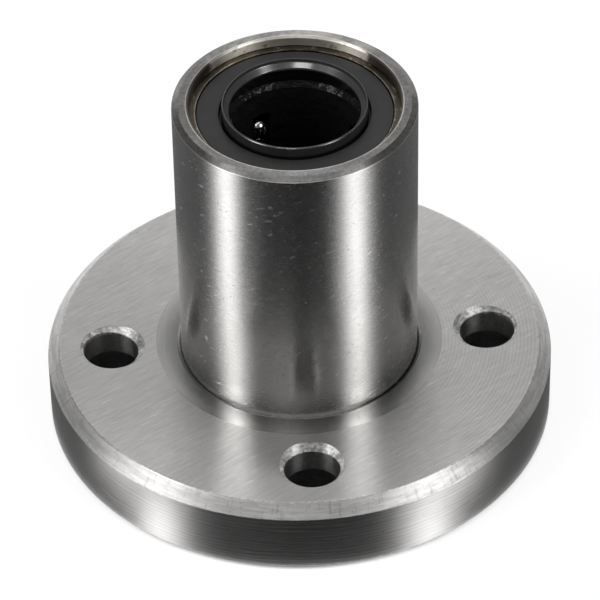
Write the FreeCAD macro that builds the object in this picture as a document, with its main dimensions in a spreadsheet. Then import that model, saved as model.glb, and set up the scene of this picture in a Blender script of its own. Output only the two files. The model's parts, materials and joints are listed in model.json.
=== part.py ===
"""Flanged linear ball bearing: a turned steel sleeve with a round flange, a moulded cage with
four recirculating ball circuits, and a lip seal held by a retaining ring at each end.

Millimetres. The origin is the centre of the bore on the flange's end face, +Z along the bore
towards the free end of the barrel, with the bolt holes on the X and Y axes.
"""
import FreeCAD, Part
import math
import os
import Sketcher

# Driving sizes
SIZES = {
    # sleeve, outside
    "shaft_d": 8.0,
    "total_len": 24.0,
    "barrel_wall": 1.0,
    "flange_t": 5.0,
    "flange_margin": 1.0,
    "bolt_count": 4,
    "bolt_hole_d": 3.5,
    "bolt_head_d": 6.0,
    "bolt_head_depth": 3.1,
    "bolt_head_gap": 1.5,
    "sink_w": 0.3,
    "sink_shift": 0.13,
    "top_chamfer": 0.76,
    "foot_chamfer": 0.34,
    "end_chamfer": 0.26,
    "end_chamfer_w": 0.38,
    "rim_chamfer": 0.12,
    "undercut_w": 0.28,
    "undercut_depth": 0.18,
    # sleeve, inside
    "ring_recess": 0.72,
    "ring_bite": 0.3,
    # retaining rings
    "ring_t": 0.5,
    "ring_w": 0.7,
    "ring_gap_angle": 24.0,
    "ring_slack": 0.04,
    # end seals
    "seal_set": 0.06,
    "seal_rim_t": 0.6,
    "seal_slack": 0.05,
    "lip_gap": 0.02,
    "lip_t": 0.44,
    "lip_stand": 0.7,
    "lip_land": 0.6,
    "lip_bevel": 0.13,
    "channel_w": 0.16,
    "channel_depth": 0.45,
    # cage and balls
    "circuit_count": 4,
    "circuit_angle": 45.0,
    "ball_d": 1.5875,
    "ball_space": 0.08,
    "run_gap": 0.01,
    "ball_play": 0.05,
    "return_lift": 0.75,
    "turn_gap": 0.1525,
    "leg_offset": 1.5,
    "cage_gap": 0.25,
    "cage_fit": 0.1,
    "cage_end_gap": 0.05,
    "cage_web": 0.45,
    "cage_lead": 0.3,
}

# Sizes that follow from the driving ones. A name that ends in _low or _high is a height at the
# flange end or at the free end, and the two ends mirror each other.
DERIVED = {
    # ball circuits
    "shaft_r": "shaft_d / 2",
    "ball_r": "ball_d / 2",
    "load_r": "shaft_r + run_gap + ball_r",
    "race_r": "load_r + ball_r + run_gap",
    "return_r": "load_r + return_lift",
    "load_x": "sqrt(load_r ^ 2 - leg_offset ^ 2)",
    "return_x": "sqrt(return_r ^ 2 - leg_offset ^ 2)",
    # sleeve
    "end_bore_r": "return_r + ball_r + turn_gap",
    "barrel_r": "end_bore_r + barrel_wall",
    "bolt_r": "bolt_hole_d / 2",
    "bolt_head_r": "bolt_head_d / 2",
    "bolt_circle_r": "barrel_r + bolt_head_gap + bolt_head_r",
    "flange_r": "bolt_circle_r + bolt_head_r + flange_margin",
    "foot_r": "flange_r - foot_chamfer",
    "crown_r": "flange_r - top_chamfer",
    "crown_low": "flange_t - top_chamfer",
    "undercut_r": "barrel_r + undercut_w",
    "undercut_low": "flange_t - undercut_depth",
    "end_chamfer_r": "barrel_r - end_chamfer_w",
    "end_chamfer_high": "total_len - end_chamfer",
    "rim_r": "end_bore_r + rim_chamfer",
    "rim_high": "total_len - rim_chamfer",
    "sink_r": "bolt_r + sink_w",
    "sink_low": "flange_t - sink_r",
    "sink_circle_r": "bolt_circle_r - sink_shift",
    "groove_r": "end_bore_r + ring_bite",
    "groove_out_low": "ring_recess - ring_slack",
    "groove_in_low": "ring_recess + ring_t + ring_slack",
    "groove_out_high": "total_len - groove_out_low",
    "groove_in_high": "total_len - groove_in_low",
    # retaining rings and end seals
    "ring_out_r": "groove_r - ring_slack",
    "ring_in_r": "ring_out_r - ring_w",
    "ring_in_low": "ring_recess + ring_t",
    "seal_rim_r": "end_bore_r - seal_slack",
    "seal_boss_r": "ring_in_r - seal_slack",
    "seal_face_low": "ring_recess + seal_set",
    "seal_rim_low": "ring_in_low + ring_slack",
    "seal_back_low": "seal_rim_low + seal_rim_t",
    "lip_r": "shaft_r + lip_gap",
    "lip_out_r": "lip_r + lip_t",
    "lip_tip_out_r": "lip_out_r - lip_bevel",
    "lip_tip_in_r": "lip_r + lip_bevel",
    "lip_tip_low": "seal_face_low - lip_stand",
    "lip_bevel_low": "lip_tip_low + lip_bevel",
    "lip_land_low": "lip_tip_low + lip_land",
    "channel_r": "lip_out_r + channel_w",
    "channel_low": "seal_face_low + channel_depth",
    # cage
    "track_r": "ball_r + ball_play",
    "track_out": "leg_offset + track_r",
    "track_in": "leg_offset - track_r",
    "track_floor_x": "return_x - track_r",
    "cage_r": "shaft_r + cage_gap",
    "cage_mouth_r": "cage_r + cage_lead",
    "cage_out_r": "race_r - cage_fit",
    "cage_low": "seal_back_low + cage_end_gap",
    "cage_high": "total_len - cage_low",
    "cage_lead_low": "cage_low + cage_lead",
    "cage_lead_high": "total_len - cage_lead_low",
    "leg_low": "cage_low + cage_web + track_out",
    "leg_high": "total_len - leg_low",
    "leg_len": "leg_high - leg_low",
    "slot_low": "leg_low - track_r",
    "slot_len": "total_len - 2 * slot_low",
}


def make_sheet(doc):
    """The spreadsheet: plain numbers for the driving sizes, formulas for the derived ones."""
    sheet = doc.addObject("Spreadsheet::Sheet", "sizes")
    rows = list(SIZES.items()) + [(name, "=" + formula) for name, formula in DERIVED.items()]
    for row, (name, value) in enumerate(rows, start=1):
        sheet.set(f"A{row}", name)
        sheet.set(f"B{row}", str(value))
        sheet.setAlias(f"B{row}", name)
    doc.recompute()
    return sheet


class Builder:
    """Makes bodies and sketches whose every dimension is bound to the spreadsheet."""

    def __init__(self, doc, sheet):
        self.doc = doc
        self.sheet = sheet

    def size(self, name):
        return float(self.sheet.get(name))

    def body(self, label):
        body = self.doc.addObject("PartDesign::Body", label)
        body.Label = label
        return body

    def origin(self, body, role):
        return next(item for item in body.Origin.OriginFeatures if item.Role == role)

    def sketch(self, body, name, role):
        sketch = body.newObject("Sketcher::SketchObject", name)
        sketch.AttachmentSupport = [(self.origin(body, role), "")]
        sketch.MapMode = "FlatFace"
        return sketch

    def pin(self, sketch, kind, name, *where):
        """A dimension of the sketch, bound to the named size."""
        index = sketch.addConstraint(Sketcher.Constraint(kind, *where, self.size(name)))
        sketch.setExpression(f"Constraints[{index}]", f"sizes.{name}")

    def outline(self, sketch, corners):
        """A closed outline of straight lines through corners named by two sizes, None for zero."""
        places = [
            FreeCAD.Vector(self.size(across) if across else 0, self.size(up) if up else 0, 0)
            for across, up in corners
        ]
        count = len(corners)
        for index, place in enumerate(places):
            sketch.addGeometry(Part.LineSegment(place, places[(index + 1) % count]))
        for index, (across, up) in enumerate(corners):
            before = (index - 1) % count
            sketch.addConstraint(Sketcher.Constraint("Coincident", before, 2, index, 1))
            if across:
                self.pin(sketch, "DistanceX", across, -1, 1, index, 1)
            else:
                sketch.addConstraint(Sketcher.Constraint("PointOnObject", index, 1, -2))
            if up:
                self.pin(sketch, "DistanceY", up, -1, 1, index, 1)
            else:
                sketch.addConstraint(Sketcher.Constraint("PointOnObject", index, 1, -1))

    def oval(self, sketch, radius):
        """A long oval, upright on the sketch's Y axis, with its round ends centred on the leg ends."""
        low = self.size("leg_low")
        high = self.size("leg_high")
        reach = self.size(radius)
        along = FreeCAD.Vector(0, 0, 1)
        top = sketch.addGeometry(
            Part.ArcOfCircle(Part.Circle(FreeCAD.Vector(0, high, 0), along, reach), 0, math.pi)
        )
        left = sketch.addGeometry(
            Part.LineSegment(FreeCAD.Vector(-reach, high, 0), FreeCAD.Vector(-reach, low, 0))
        )
        bottom = sketch.addGeometry(
            Part.ArcOfCircle(Part.Circle(FreeCAD.Vector(0, low, 0), along, reach), math.pi, 2 * math.pi)
        )
        right = sketch.addGeometry(
            Part.LineSegment(FreeCAD.Vector(reach, low, 0), FreeCAD.Vector(reach, high, 0))
        )
        for first, first_end, second, second_end in (
            (top, 2, left, 1), (left, 2, bottom, 1), (bottom, 2, right, 1), (right, 2, top, 1),
        ):
            sketch.addConstraint(Sketcher.Constraint("Tangent", first, first_end, second, second_end))
        for arc, height in ((top, "leg_high"), (bottom, "leg_low")):
            sketch.addConstraint(Sketcher.Constraint("PointOnObject", arc, 3, -2))
            self.pin(sketch, "DistanceY", height, -1, 1, arc, 3)
        self.pin(sketch, "Radius", radius, top)

    def revolve(self, body, corners):
        sketch = self.sketch(body, body.Label + "_profile", "XZ_Plane")
        self.outline(sketch, corners)
        turned = body.newObject("PartDesign::Revolution", body.Label + "_turned")
        turned.Profile = sketch
        turned.ReferenceAxis = (sketch, ["V_Axis"])
        turned.Angle = 360
        self.doc.recompute()
        return turned

    def round_cut(self, body, name, away, corners):
        """A cut turned about an upright axis that stands the named distance away on the X axis."""
        sketch = self.sketch(body, name + "_profile", "XZ_Plane")
        sketch.setExpression("AttachmentOffset.Base.x", f"sizes.{away}")
        self.outline(sketch, corners)
        cut = body.newObject("PartDesign::Groove", name)
        cut.Profile = sketch
        cut.ReferenceAxis = (sketch, ["V_Axis"])
        cut.Angle = 360
        return cut

    def repeat(self, body, features, count):
        pattern = body.newObject("PartDesign::PolarPattern", features[0].Name + "_round")
        pattern.Originals = features
        pattern.Axis = (self.origin(body, "Z_Axis"), [""])
        pattern.Angle = 360
        pattern.setExpression("Occurrences", f"sizes.{count}")
        body.Tip = pattern
        self.doc.recompute()


def flanged_sleeve(make):
    """The hardened sleeve: barrel, flange, raceway lands, end bores and ring grooves in one piece."""
    body = make.body("flanged_sleeve")
    make.revolve(body, [
        ("rim_r", None),
        ("foot_r", None),
        ("flange_r", "foot_chamfer"),
        ("flange_r", "crown_low"),
        ("crown_r", "flange_t"),
        ("undercut_r", "flange_t"),
        ("barrel_r", "undercut_low"),
        ("barrel_r", "end_chamfer_high"),
        ("end_chamfer_r", "total_len"),
        ("rim_r", "total_len"),
        ("end_bore_r", "rim_high"),
        ("end_bore_r", "groove_out_high"),
        ("groove_r", "groove_out_high"),
        ("groove_r", "groove_in_high"),
        ("end_bore_r", "groove_in_high"),
        ("end_bore_r", "leg_high"),
        ("race_r", "leg_high"),
        ("race_r", "leg_low"),
        ("end_bore_r", "leg_low"),
        ("end_bore_r", "groove_in_low"),
        ("groove_r", "groove_in_low"),
        ("groove_r", "groove_out_low"),
        ("end_bore_r", "groove_out_low"),
        ("end_bore_r", "rim_chamfer"),
    ])

    # bolt holes, counterbored from the end face and countersunk a little nearer to the barrel
    hole = make.round_cut(body, "bolt_hole", "bolt_circle_r", [
        (None, None),
        ("bolt_head_r", None),
        ("bolt_head_r", "bolt_head_depth"),
        ("bolt_r", "bolt_head_depth"),
        ("bolt_r", "flange_t"),
        (None, "flange_t"),
    ])
    sink = make.round_cut(body, "bolt_sink", "sink_circle_r", [
        (None, "sink_low"),
        ("sink_r", "flange_t"),
        (None, "flange_t"),
    ])
    make.repeat(body, [hole, sink], "bolt_count")

    # round grooves in the raceway for the balls on their way back
    groove_profile = make.sketch(body, "return_groove_profile", "XY_Plane")
    groove_profile.setExpression("AttachmentOffset.Base.z", "sizes.leg_low")
    groove_profile.setExpression("AttachmentOffset.Rotation.Angle", "sizes.circuit_angle")
    groove_profile.addGeometry(Part.Circle(
        FreeCAD.Vector(make.size("return_x"), make.size("leg_offset"), 0),
        FreeCAD.Vector(0, 0, 1),
        make.size("track_r"),
    ))
    make.pin(groove_profile, "DistanceX", "return_x", -1, 1, 0, 3)
    make.pin(groove_profile, "DistanceY", "leg_offset", -1, 1, 0, 3)
    make.pin(groove_profile, "Radius", "track_r", 0)
    groove = body.newObject("PartDesign::Pocket", "return_groove")
    groove.Profile = groove_profile
    groove.Type = "Length"
    groove.Reversed = True
    groove.setExpression("Length", "sizes.leg_len")
    make.repeat(body, [groove], "circuit_count")
    return body


def ball_cage(make):
    """The moulded cage: a bore with led-in ends, and oval tracks, each with one leg slotted through."""
    body = make.body("ball_cage")
    make.revolve(body, [
        ("cage_mouth_r", "cage_low"),
        ("cage_out_r", "cage_low"),
        ("cage_out_r", "cage_high"),
        ("cage_mouth_r", "cage_high"),
        ("cage_r", "cage_lead_high"),
        ("cage_r", "cage_lead_low"),
    ])

    # the oval track, cut outwards from its floor
    track_profile = make.sketch(body, "track_profile", "YZ_Plane")
    track_profile.setExpression("AttachmentOffset.Base.z", "sizes.track_floor_x")
    make.oval(track_profile, "track_out")
    make.oval(track_profile, "track_in")
    track = body.newObject("PartDesign::Pocket", "track")
    track.Profile = track_profile
    track.Type = "Length"
    track.Reversed = True
    track.setExpression("Length", "sizes.cage_out_r")

    # the loaded leg, a round slot narrower than a ball where it opens into the bore
    slot_profile = make.sketch(body, "slot_profile", "XY_Plane")
    slot_profile.setExpression("AttachmentOffset.Base.z", "sizes.slot_low")
    slot_profile.addGeometry(Part.Circle(
        FreeCAD.Vector(make.size("load_x"), -make.size("leg_offset"), 0),
        FreeCAD.Vector(0, 0, 1),
        make.size("track_r"),
    ))
    make.pin(slot_profile, "DistanceX", "load_x", -1, 1, 0, 3)
    make.pin(slot_profile, "DistanceY", "leg_offset", 0, 3, -1, 1)
    make.pin(slot_profile, "Radius", "track_r", 0)
    slot = body.newObject("PartDesign::Pocket", "slot")
    slot.Profile = slot_profile
    slot.Type = "Length"
    slot.Reversed = True
    slot.setExpression("Length", "sizes.slot_len")
    make.repeat(body, [track, slot], "circuit_count")
    body.Placement.Rotation = FreeCAD.Rotation(FreeCAD.Vector(0, 0, 1), make.size("circuit_angle"))
    body.setExpression("Placement.Rotation.Angle", "sizes.circuit_angle")
    return body


def end_piece(make, label, corners, at_free_end):
    """A turned piece drawn at the flange end, and turned over about a diagonal for the free end."""
    body = make.body(label)
    make.revolve(body, corners)
    if at_free_end:
        body.Placement.Rotation = FreeCAD.Rotation(FreeCAD.Vector(1, -1, 0), 180)
        body.setExpression("Placement.Base.z", "sizes.total_len")
    return body


def end_seal(make, label, at_free_end):
    """The lip seal: a rim under the retaining ring, a flat face, a channel and a lip on the shaft."""
    return end_piece(make, label, [
        ("cage_mouth_r", "seal_back_low"),
        ("seal_rim_r", "seal_back_low"),
        ("seal_rim_r", "seal_rim_low"),
        ("seal_boss_r", "seal_rim_low"),
        ("seal_boss_r", "seal_face_low"),
        ("channel_r", "seal_face_low"),
        ("channel_r", "channel_low"),
        ("lip_out_r", "channel_low"),
        ("lip_out_r", "lip_bevel_low"),
        ("lip_tip_out_r", "lip_tip_low"),
        ("lip_tip_in_r", "lip_tip_low"),
        ("lip_r", "lip_bevel_low"),
        ("lip_r", "lip_land_low"),
    ], at_free_end)


def retaining_ring(make, label, at_free_end):
    """The open spring ring that snaps into the groove of the end bore."""
    body = end_piece(make, label, [
        ("ring_in_r", "ring_recess"),
        ("ring_out_r", "ring_recess"),
        ("ring_out_r", "ring_in_low"),
        ("ring_in_r", "ring_in_low"),
    ], at_free_end)
    body.Tip.setExpression("Angle", "360 - sizes.ring_gap_angle")
    return body


def ball_path(make, along):
    """The centre of a ball a distance along its circuit, which is drawn round the X axis.

    Up the loaded leg, over the turn, down the return leg and back through the other turn.
    """
    leg = make.size("leg_len")
    offset = make.size("leg_offset")
    turn = math.pi * offset
    if along < leg:
        return FreeCAD.Vector(make.size("load_x"), -offset, make.size("leg_low") + along)
    along -= leg
    if along < turn:
        angle = along / offset
        height = make.size("leg_high") + offset * math.sin(angle)
        return FreeCAD.Vector(make.size("return_x"), -offset * math.cos(angle), height)
    along -= turn
    if along < leg:
        return FreeCAD.Vector(make.size("return_x"), offset, make.size("leg_high") - along)
    angle = (along - leg) / offset
    height = make.size("leg_low") - offset * math.sin(angle)
    return FreeCAD.Vector(make.size("return_x"), offset * math.cos(angle), height)


def ball(radius, centre):
    """A ball as a light solid of twenty flats with its corners on the sphere.

    One corner points at the shaft and the opposite one at the sleeve.
    """
    depth = radius / math.sqrt(5)
    step = 2 * math.pi / 5
    inner = FreeCAD.Vector(-radius, 0, 0)
    outer = FreeCAD.Vector(radius, 0, 0)
    inner_ring = []
    outer_ring = []
    for index in range(5):
        angle = index * step
        inner_ring.append(FreeCAD.Vector(-depth, 2 * depth * math.cos(angle), 2 * depth * math.sin(angle)))
        angle += step / 2
        outer_ring.append(FreeCAD.Vector(depth, 2 * depth * math.cos(angle), 2 * depth * math.sin(angle)))
    flats = []
    for index in range(5):
        after = (index + 1) % 5
        flats.append((inner, inner_ring[after], inner_ring[index]))
        flats.append((inner_ring[index], inner_ring[after], outer_ring[index]))
        flats.append((outer_ring[index], inner_ring[after], outer_ring[after]))
        flats.append((outer, outer_ring[index], outer_ring[after]))
    faces = [Part.Face(Part.makePolygon([*flat, flat[0]])) for flat in flats]
    solid = Part.makeSolid(Part.makeShell(faces))
    solid.rotate(FreeCAD.Vector(), FreeCAD.Vector(0, 0, 1), math.degrees(math.atan2(centre.y, centre.x)))
    solid.translate(centre)
    return solid


def ball_circuit(make, number):
    """All the balls of one circuit, evenly spaced round its closed path."""
    offset = make.size("leg_offset")
    turn = math.pi * offset
    half_path = make.size("leg_len") + turn
    least_pitch = 2 * offset * math.asin((make.size("ball_d") + make.size("ball_space")) / (2 * offset))
    half_count = math.floor(half_path / least_pitch)
    pitch = half_path / half_count
    start = (math.ceil(turn / pitch) * pitch - turn) / 2
    balls = [
        ball(make.size("ball_r"), ball_path(make, start + index * pitch))
        for index in range(2 * half_count)
    ]
    group = make.doc.addObject("Part::Feature", f"ball_circuit_{number}")
    group.Shape = Part.makeCompound(balls)
    angle = make.size("circuit_angle") + (number - 1) * 360 / make.size("circuit_count")
    group.Placement = FreeCAD.Placement(
        FreeCAD.Vector(), FreeCAD.Rotation(FreeCAD.Vector(0, 0, 1), angle)
    )
    return group


def check(doc, parts):
    """Stop if anything in the document failed or a part isn't a sound shape."""
    for item in doc.Objects:
        if "Invalid" in item.State or "Error" in item.State:
            raise RuntimeError(f"{item.Name} failed: {item.State}")
    for part in parts:
        if part.Shape.isNull() or not part.Shape.isValid():
            raise RuntimeError(f"{part.Label} is not a sound shape")


def main():
    doc = FreeCAD.newDocument("flanged_linear_bearing")
    make = Builder(doc, make_sheet(doc))
    parts = [flanged_sleeve(make), ball_cage(make)]
    for end, at_free_end in (("bottom", False), ("top", True)):
        parts.append(end_seal(make, f"end_seal_{end}", at_free_end))
        parts.append(retaining_ring(make, f"retaining_ring_{end}", at_free_end))
    for number in range(1, int(make.size("circuit_count")) + 1):
        parts.append(ball_circuit(make, number))
    doc.recompute()
    check(doc, parts)
    os.makedirs("parts", exist_ok=True)
    for part in parts:
        part.Shape.exportStep(f"parts/{part.Label}.step")
        box = part.Shape.BoundBox
        print(
            f"{part.Label}: {len(part.Shape.Solids)} solids, {part.Shape.Volume:.2f} mm3,"
            f" z {box.ZMin:.3f} to {box.ZMax:.3f}"
        )


main()
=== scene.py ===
"""Looks of the flanged linear ball bearing: finishes, smooth balls, rounded seals, studio
and camera.

Metres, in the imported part's own frame: +Z along the bore, bolt holes on the X and Y axes.
"""
import json
import math

import bpy
import numpy as np
from mathutils import Matrix, Vector


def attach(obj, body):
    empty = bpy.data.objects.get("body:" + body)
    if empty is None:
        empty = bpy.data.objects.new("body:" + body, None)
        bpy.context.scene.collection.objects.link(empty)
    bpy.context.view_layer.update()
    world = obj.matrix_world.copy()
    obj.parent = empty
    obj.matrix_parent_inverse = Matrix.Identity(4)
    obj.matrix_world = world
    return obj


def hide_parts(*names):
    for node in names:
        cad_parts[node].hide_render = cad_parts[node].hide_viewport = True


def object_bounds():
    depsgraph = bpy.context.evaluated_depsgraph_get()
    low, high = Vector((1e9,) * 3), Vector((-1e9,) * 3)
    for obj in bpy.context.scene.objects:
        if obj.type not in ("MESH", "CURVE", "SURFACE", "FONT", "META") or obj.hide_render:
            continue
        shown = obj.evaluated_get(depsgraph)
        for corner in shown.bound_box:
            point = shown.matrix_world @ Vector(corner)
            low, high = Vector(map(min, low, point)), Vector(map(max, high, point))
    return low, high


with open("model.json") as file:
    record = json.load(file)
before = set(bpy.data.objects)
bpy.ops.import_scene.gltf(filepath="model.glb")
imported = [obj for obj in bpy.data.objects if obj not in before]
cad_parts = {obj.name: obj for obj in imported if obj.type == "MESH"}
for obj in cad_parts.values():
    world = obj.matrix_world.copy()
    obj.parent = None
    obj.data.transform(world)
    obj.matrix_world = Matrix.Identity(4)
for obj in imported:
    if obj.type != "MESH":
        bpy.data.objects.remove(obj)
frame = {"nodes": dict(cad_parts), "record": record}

CAD_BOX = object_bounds()
MM = 0.001

# Sizes of the part, in millimetres, from its mounts and its box
MOUNTS = {mount["name"]: mount for mount in frame["record"]["mounts"]}
BARREL_R = MOUNTS["barrel_seat"]["dims"]["r_mm"]
FLANGE_TOP = MOUNTS["flange_seat"]["pos_m"][2] / MM
FLANGE_R = CAD_BOX[1].x / MM
BARREL_TOP = CAD_BOX[1].z / MM
BOLT_CIRCLE_R = MOUNTS["flange_bolts"]["dims"]["pcd_mm"] / 2
BOLT_R = MOUNTS["flange_bolts"]["dims"]["hole_r_mm"]

# Smaller cuts of the part, in millimetres
CROWN_W = 0.76
FOOT_W = 0.34
RIM_DROP = 0.26
RIM_IN_R = 6.62
END_BORE_R = 6.5
BOLT_HEAD_R = 3.0
SINK_W = 0.30
SINK_SHIFT = 0.13
SHOULDER_R = 9.1
UNDERCUT_W = 0.28

# Places and edges that follow from them, the edges by radius and height
CROWN_LOW = FLANGE_TOP - CROWN_W
RIM_LOW = BARREL_TOP - RIM_DROP
SINK_R = BOLT_R + SINK_W + SINK_SHIFT
SINK_LOW = FLANGE_TOP - SINK_W - SINK_SHIFT
FLANGE_EDGES = (
    (FLANGE_R - CROWN_W, FLANGE_TOP),
    (FLANGE_R, CROWN_LOW),
    (FLANGE_R, FOOT_W),
)
RIM_EDGES = ((RIM_IN_R, BARREL_TOP), (BARREL_R, RIM_LOW))

# Directions of the brush strokes and of the deeper cuts on the flange, in radians from the X axis
STROKE_ANGLE = math.radians(34.0)
CUT_ANGLE = STROKE_ANGLE - 0.12

# Climb of the long scores on the barrel, for each millimetre along the X axis
SCORE_SLOPE = 0.4

# Seal at the free end, in millimetres: corners of its section by radius and height, and how far each
# is rounded. The other end's seal mirrors it.
SEAL_SECTION = (
    (4.55, 22.14, 0.02), (6.45, 22.14, 0.05), (6.45, 22.74, 0.05),
    (6.01, 22.74, 0.03), (6.01, 23.22, 0.06), (4.62, 23.22, 0.05),
    (4.62, 22.77, 0.05), (4.46, 22.77, 0.05), (4.46, 23.865, 0.02),
    (4.40, 23.92, 0.015), (4.34, 23.92, 0.015), (4.32, 23.71, 0.04),
    (4.02, 23.432, 0.03), (4.02, 23.32, 0.02),
)
LIP_OUT_R = 4.46
LIP_BEVEL_R = 4.33
LIP_LOW = 23.30
LIP_CREST = 23.92
CHANNEL_R = 4.62
SEAL_FACE = 23.22
SEAL_SECTORS = 160
CURVE_STEPS = 6
CURVE_MARGIN = 0.012

# Outer face of the retaining ring at the free end, and its inner radius, in millimetres
RING_FACE = 23.28
RING_IN_R = 6.06

# Colours of the stains in the recess, and of the oiled rings, whose darkness is partly painted shade
# and whose bare colour also paints a highlight on the inner edge
STAIN_PALE = (0.92, 0.87, 0.77, 1.0)
DARK_BROWN = (0.12, 0.095, 0.07, 1.0)
OIL_AND_SHADE_DARK = (0.04, 0.034, 0.026, 1.0)
OIL_AND_SHADE_THIN = (0.13, 0.11, 0.085, 1.0)
RING_BARE_AND_HIGHLIGHT = (0.50, 0.47, 0.42, 1.0)

# Camera found from the outlines in the photograph
CAMERA_AZIMUTH = math.radians(-3.05)
CAMERA_ELEVATION = math.radians(40.98)
CAMERA_ROLL = math.radians(-1.11)
CAMERA_DISTANCE = 0.2567
CAMERA_TARGET = (0.00009, 0.0, 0.00808)
CAMERA_LENS = 244.15
CAMERA_SENSOR = 36.0
CAMERA_NEAR = 0.01

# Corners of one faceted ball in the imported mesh, and the grid of a smooth one
BALL_CORNERS = 60
BALL_RINGS = 16
BALL_SECTORS = 28

# Floor: height and radius in metres, how far it goes under the part and how far out from the part
# its glow is full, in millimetres, and its brightness
FLOOR_Z = -0.00004
FLOOR_R = 1.5
FLOOR_UNDER = 0.1
FLOOR_CLEAR = 0.2
FLOOR_SECTORS = 128
FLOOR_PAPER = 0.8
FLOOR_GLOW = 0.8

# Shades under the holes, and the backdrop's brightness as a light and as it is seen
SHADE_SECTORS = 48
SHADE_TONE = 0.05
BACKDROP_LIGHT = 0.5
BACKDROP_SEEN = 1.0

# Cards that only reflections show: their radius in metres, the wall's top in degrees of elevation,
# the table's height in metres, and their grids. The table's card has an inner ring round the
# flange, and its bounds and the start of the rest are given in flange radii.
CARD_R = 0.36
CARD_TOP = 75.0
TABLE_Z = 0.00002
INNER_RING = (1.02, 1.29)
OUTER_START = 1.30
INNER_ROWS, OUTER_ROWS, TABLE_COLUMNS = 8, 14, 241
WALL_ROWS, WALL_COLUMNS = 39, 217

# Brightness of the cards, by bearing in degrees from the front to the right and by elevation in
# degrees. A strip has a middle bearing, a half width and a peak. A pair with a middle and a half
# width is a bell curve, and a pair with a start and an end is a smooth step.
ROOM_TONE, ROOM_GAIN, ROOM_CURVE = 0.022, 0.15, 1.5
TABLE_STRIPS = ((-72.0, 11.8, 1.82), (53.0, 12.8, 1.74))
WALL_STRIPS = ((-67.0, 10.5, 2.05), (53.0, 11.0, 1.75))
STRIP_PEAK, STRIP_BELOW, STRIP_ABOVE, STRIP_LIFT = 39.0, 18.0, 8.0, 3.0
STRIP_END, STRIP_LOSS = (46.0, 58.0), 0.9
WINDOW_BEARING, WINDOW_ELEVATION, WINDOW_TONE = (-16.0, 30.0), (50.0, 22.0), 0.25
SIDE_STEP, SIDE_TONE = (88.0, 112.0), 0.09
BACK_STEP, BACK_TONE = (138.0, 156.0), 1.25
BELT_ELEVATION, BELT_LOSS = (42.0, 7.0), 0.85
TOP_STEP, TOP_TONE = (58.0, 72.0), 0.9

# Lamps: bearing, elevation, distance, size, power, and whether reflections show the lamp
LAMPS = {
    "left_softbox": (-71, 42, 0.40, (0.22, 0.28), 1.6, False),
    "right_softbox": (57, 42, 0.40, (0.22, 0.28), 1.4, False),
    "overhead_softbox": (176, 76, 0.42, (0.10, 0.03), 0.11, True),
    "front_lamp": (-21, 59, 0.30, (0.100, 0.012), 0.018, True),
}


# Node building

def join(tree, socket, value):
    """Links a socket to another one, or sets it to a plain value."""
    if isinstance(value, bpy.types.NodeSocket):
        tree.links.new(value, socket)
    else:
        socket.default_value = value


def add(tree, kind, sockets=None, **settings):
    """A new node of a kind, with its settings made and its sockets joined."""
    node = tree.nodes.new("ShaderNode" + kind)
    for name, value in settings.items():
        setattr(node, name, value)
    for name, value in (sockets or {}).items():
        join(tree, node.inputs[name], value)
    return node


def calc(tree, operation, *values):
    return add(tree, "Math", dict(enumerate(values)), operation=operation).outputs[0]


def product(tree, *values):
    total = values[0]
    for value in values[1:]:
        total = calc(tree, "MULTIPLY", total, value)
    return total


def mix(tree, factor, first, second):
    """A number between two others."""
    return add(tree, "Mix", {0: factor, 2: first, 3: second}, data_type="FLOAT").outputs[0]


def tint(tree, factor, first, second):
    """A colour between two others."""
    return add(tree, "Mix", {0: factor, 6: first, 7: second}, data_type="RGBA").outputs[2]


def ease(tree, value, low, high, start=0.0, end=1.0):
    """Rises smoothly from start to end while the value goes from low to high."""
    sockets = {"Value": value, "From Min": low, "From Max": high, "To Min": start, "To Max": end}
    return add(tree, "MapRange", sockets, interpolation_type="SMOOTHSTEP").outputs[0]


def within(tree, value, low, high, soft):
    """One between low and high, zero outside, with soft ends."""
    rise = ease(tree, value, low - soft, low + soft)
    fall = ease(tree, value, high - soft, high + soft, 1.0, 0.0)
    return calc(tree, "MULTIPLY", rise, fall)


def scaled(tree, vector, amount):
    return add(tree, "VectorMath", {0: vector, "Scale": amount}, operation="SCALE").outputs[0]


def shifted(tree, vector, offset):
    return add(tree, "VectorMath", {0: vector, 1: offset}, operation="ADD").outputs[0]


def length(tree, vector):
    return add(tree, "VectorMath", {0: vector}, operation="LENGTH").outputs["Value"]


def parts_of(tree, vector):
    """The X, Y and Z parts of a vector."""
    return add(tree, "SeparateXYZ", {0: vector}).outputs


def diagonal(tree, across, along):
    """The longest side of a right triangle, from the other two."""
    squares = calc(tree, "ADD", product(tree, across, across), product(tree, along, along))
    return calc(tree, "SQRT", squares)


def noise(tree, vector, scale, detail=3.0, roughness=0.6):
    sockets = {"Vector": vector, "Scale": scale, "Detail": detail, "Roughness": roughness}
    return add(tree, "TexNoise", sockets).outputs[0]


def grey(level, warmth=0.0):
    """A neutral colour, or a slightly warm one."""
    return (level * (1 + warmth), level, level * (1 - warmth), 1.0)


SOCKETS = {"value": "NodeSocketFloat", "vector": "NodeSocketVector"}


def new_group(name, inputs, outputs):
    """An empty shader group with named sockets, its inputs and its outputs."""
    tree = bpy.data.node_groups.new(name, "ShaderNodeTree")
    for direction, names in (("INPUT", inputs), ("OUTPUT", outputs)):
        for socket, kind in names.items():
            tree.interface.new_socket(name=socket, in_out=direction, socket_type=SOCKETS[kind])
    entry = tree.nodes.new("NodeGroupInput")
    leave = tree.nodes.new("NodeGroupOutput")
    return tree, entry.outputs, leave.inputs


def use(tree, group, **sockets):
    """Places a group and returns its outputs."""
    return add(tree, "Group", sockets, node_tree=group).outputs


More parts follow.
